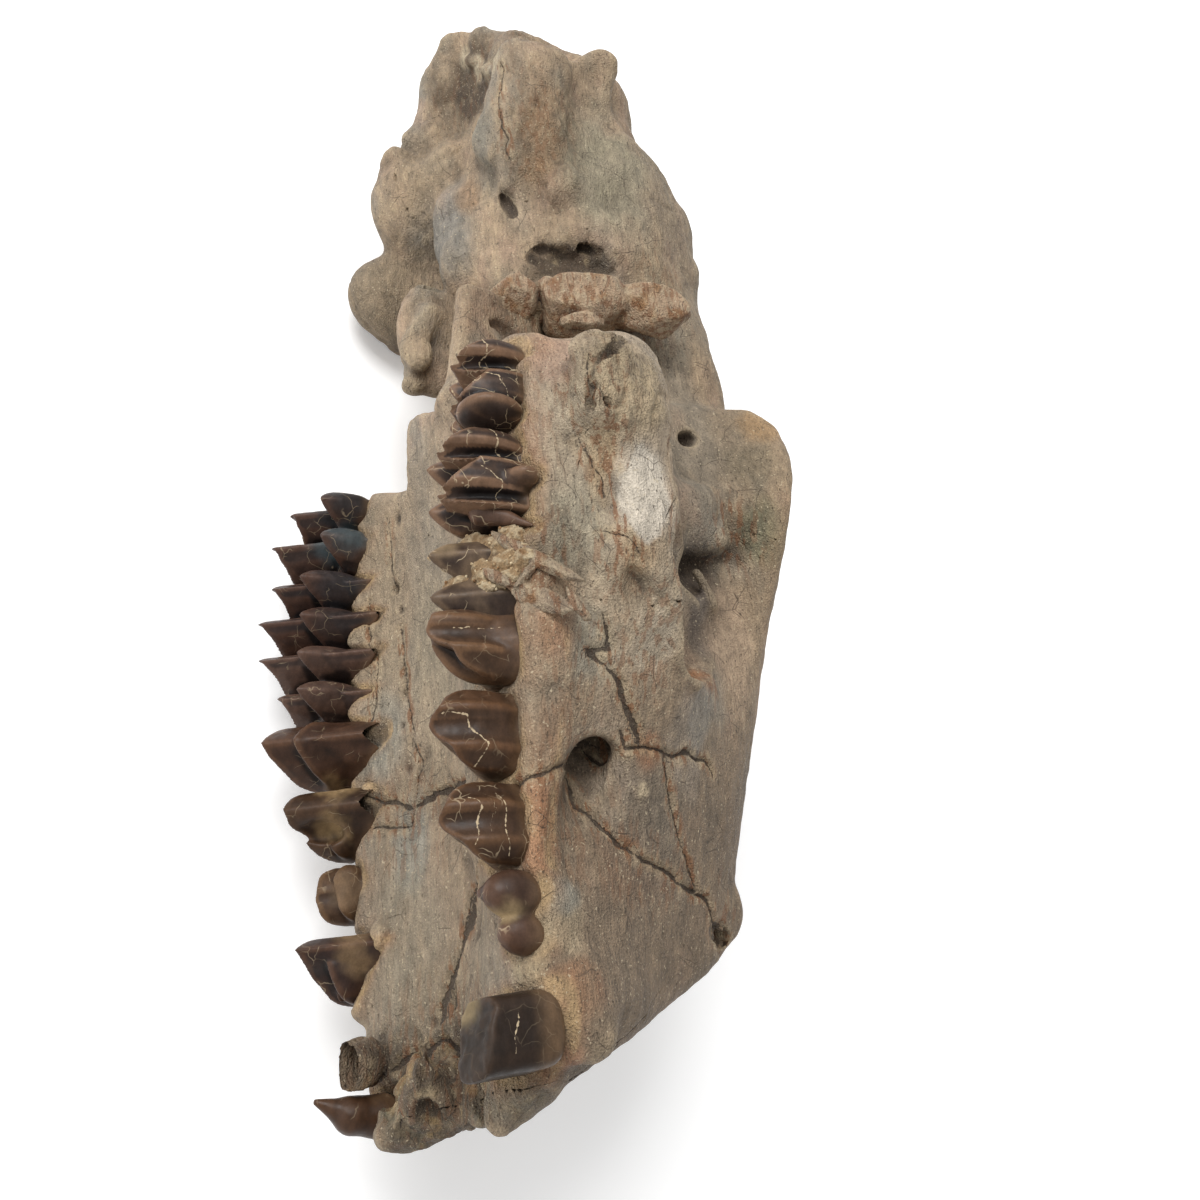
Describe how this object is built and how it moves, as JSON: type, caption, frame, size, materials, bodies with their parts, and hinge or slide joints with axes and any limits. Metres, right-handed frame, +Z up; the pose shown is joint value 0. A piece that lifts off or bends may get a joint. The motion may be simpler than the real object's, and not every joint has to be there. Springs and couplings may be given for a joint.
{
  "type": "fossil oreodont skull",
  "caption": "Life-size fossil skull of a small hoofed plant eater, lying on its left side, with dark enamelled cheek teeth and a broken cheek arch.",
  "frame": {"origin": "centre of the bounding box's footprint, on the surface the skull lies on", "axes": "+X along the skull towards the snout, +Y towards the crown of the head, +Z up, which is the skull's right side"},
  "size_m": [0.2382, 0.0926, 0.0847],
  "materials": {
    "bone": "permineralised fossil bone, warm grey-brown, dull with a faint sheen where it is smooth",
    "enamel": "mineral-stained tooth enamel, dark brown to black, glossy, with pale cracks",
    "matrix": "dull sandy rock left in the broken places"
  },
  "bodies": {
    "root": {"premaxilla_left": "bone", "premaxilla_right": "bone", "maxilla_left": "bone", "maxilla_right": "bone", "nasal_left": "bone", "nasal_right": "bone", "frontal_left": "bone", "frontal_right": "bone", "palatine_left": "bone", "palatine_right": "bone", "jugal_right": "bone", "sphenoid": "bone", "parietal": "bone", "squamosal_left": "bone", "squamosal_right": "bone", "occipital": "bone"}
  },
  "joints": []
}
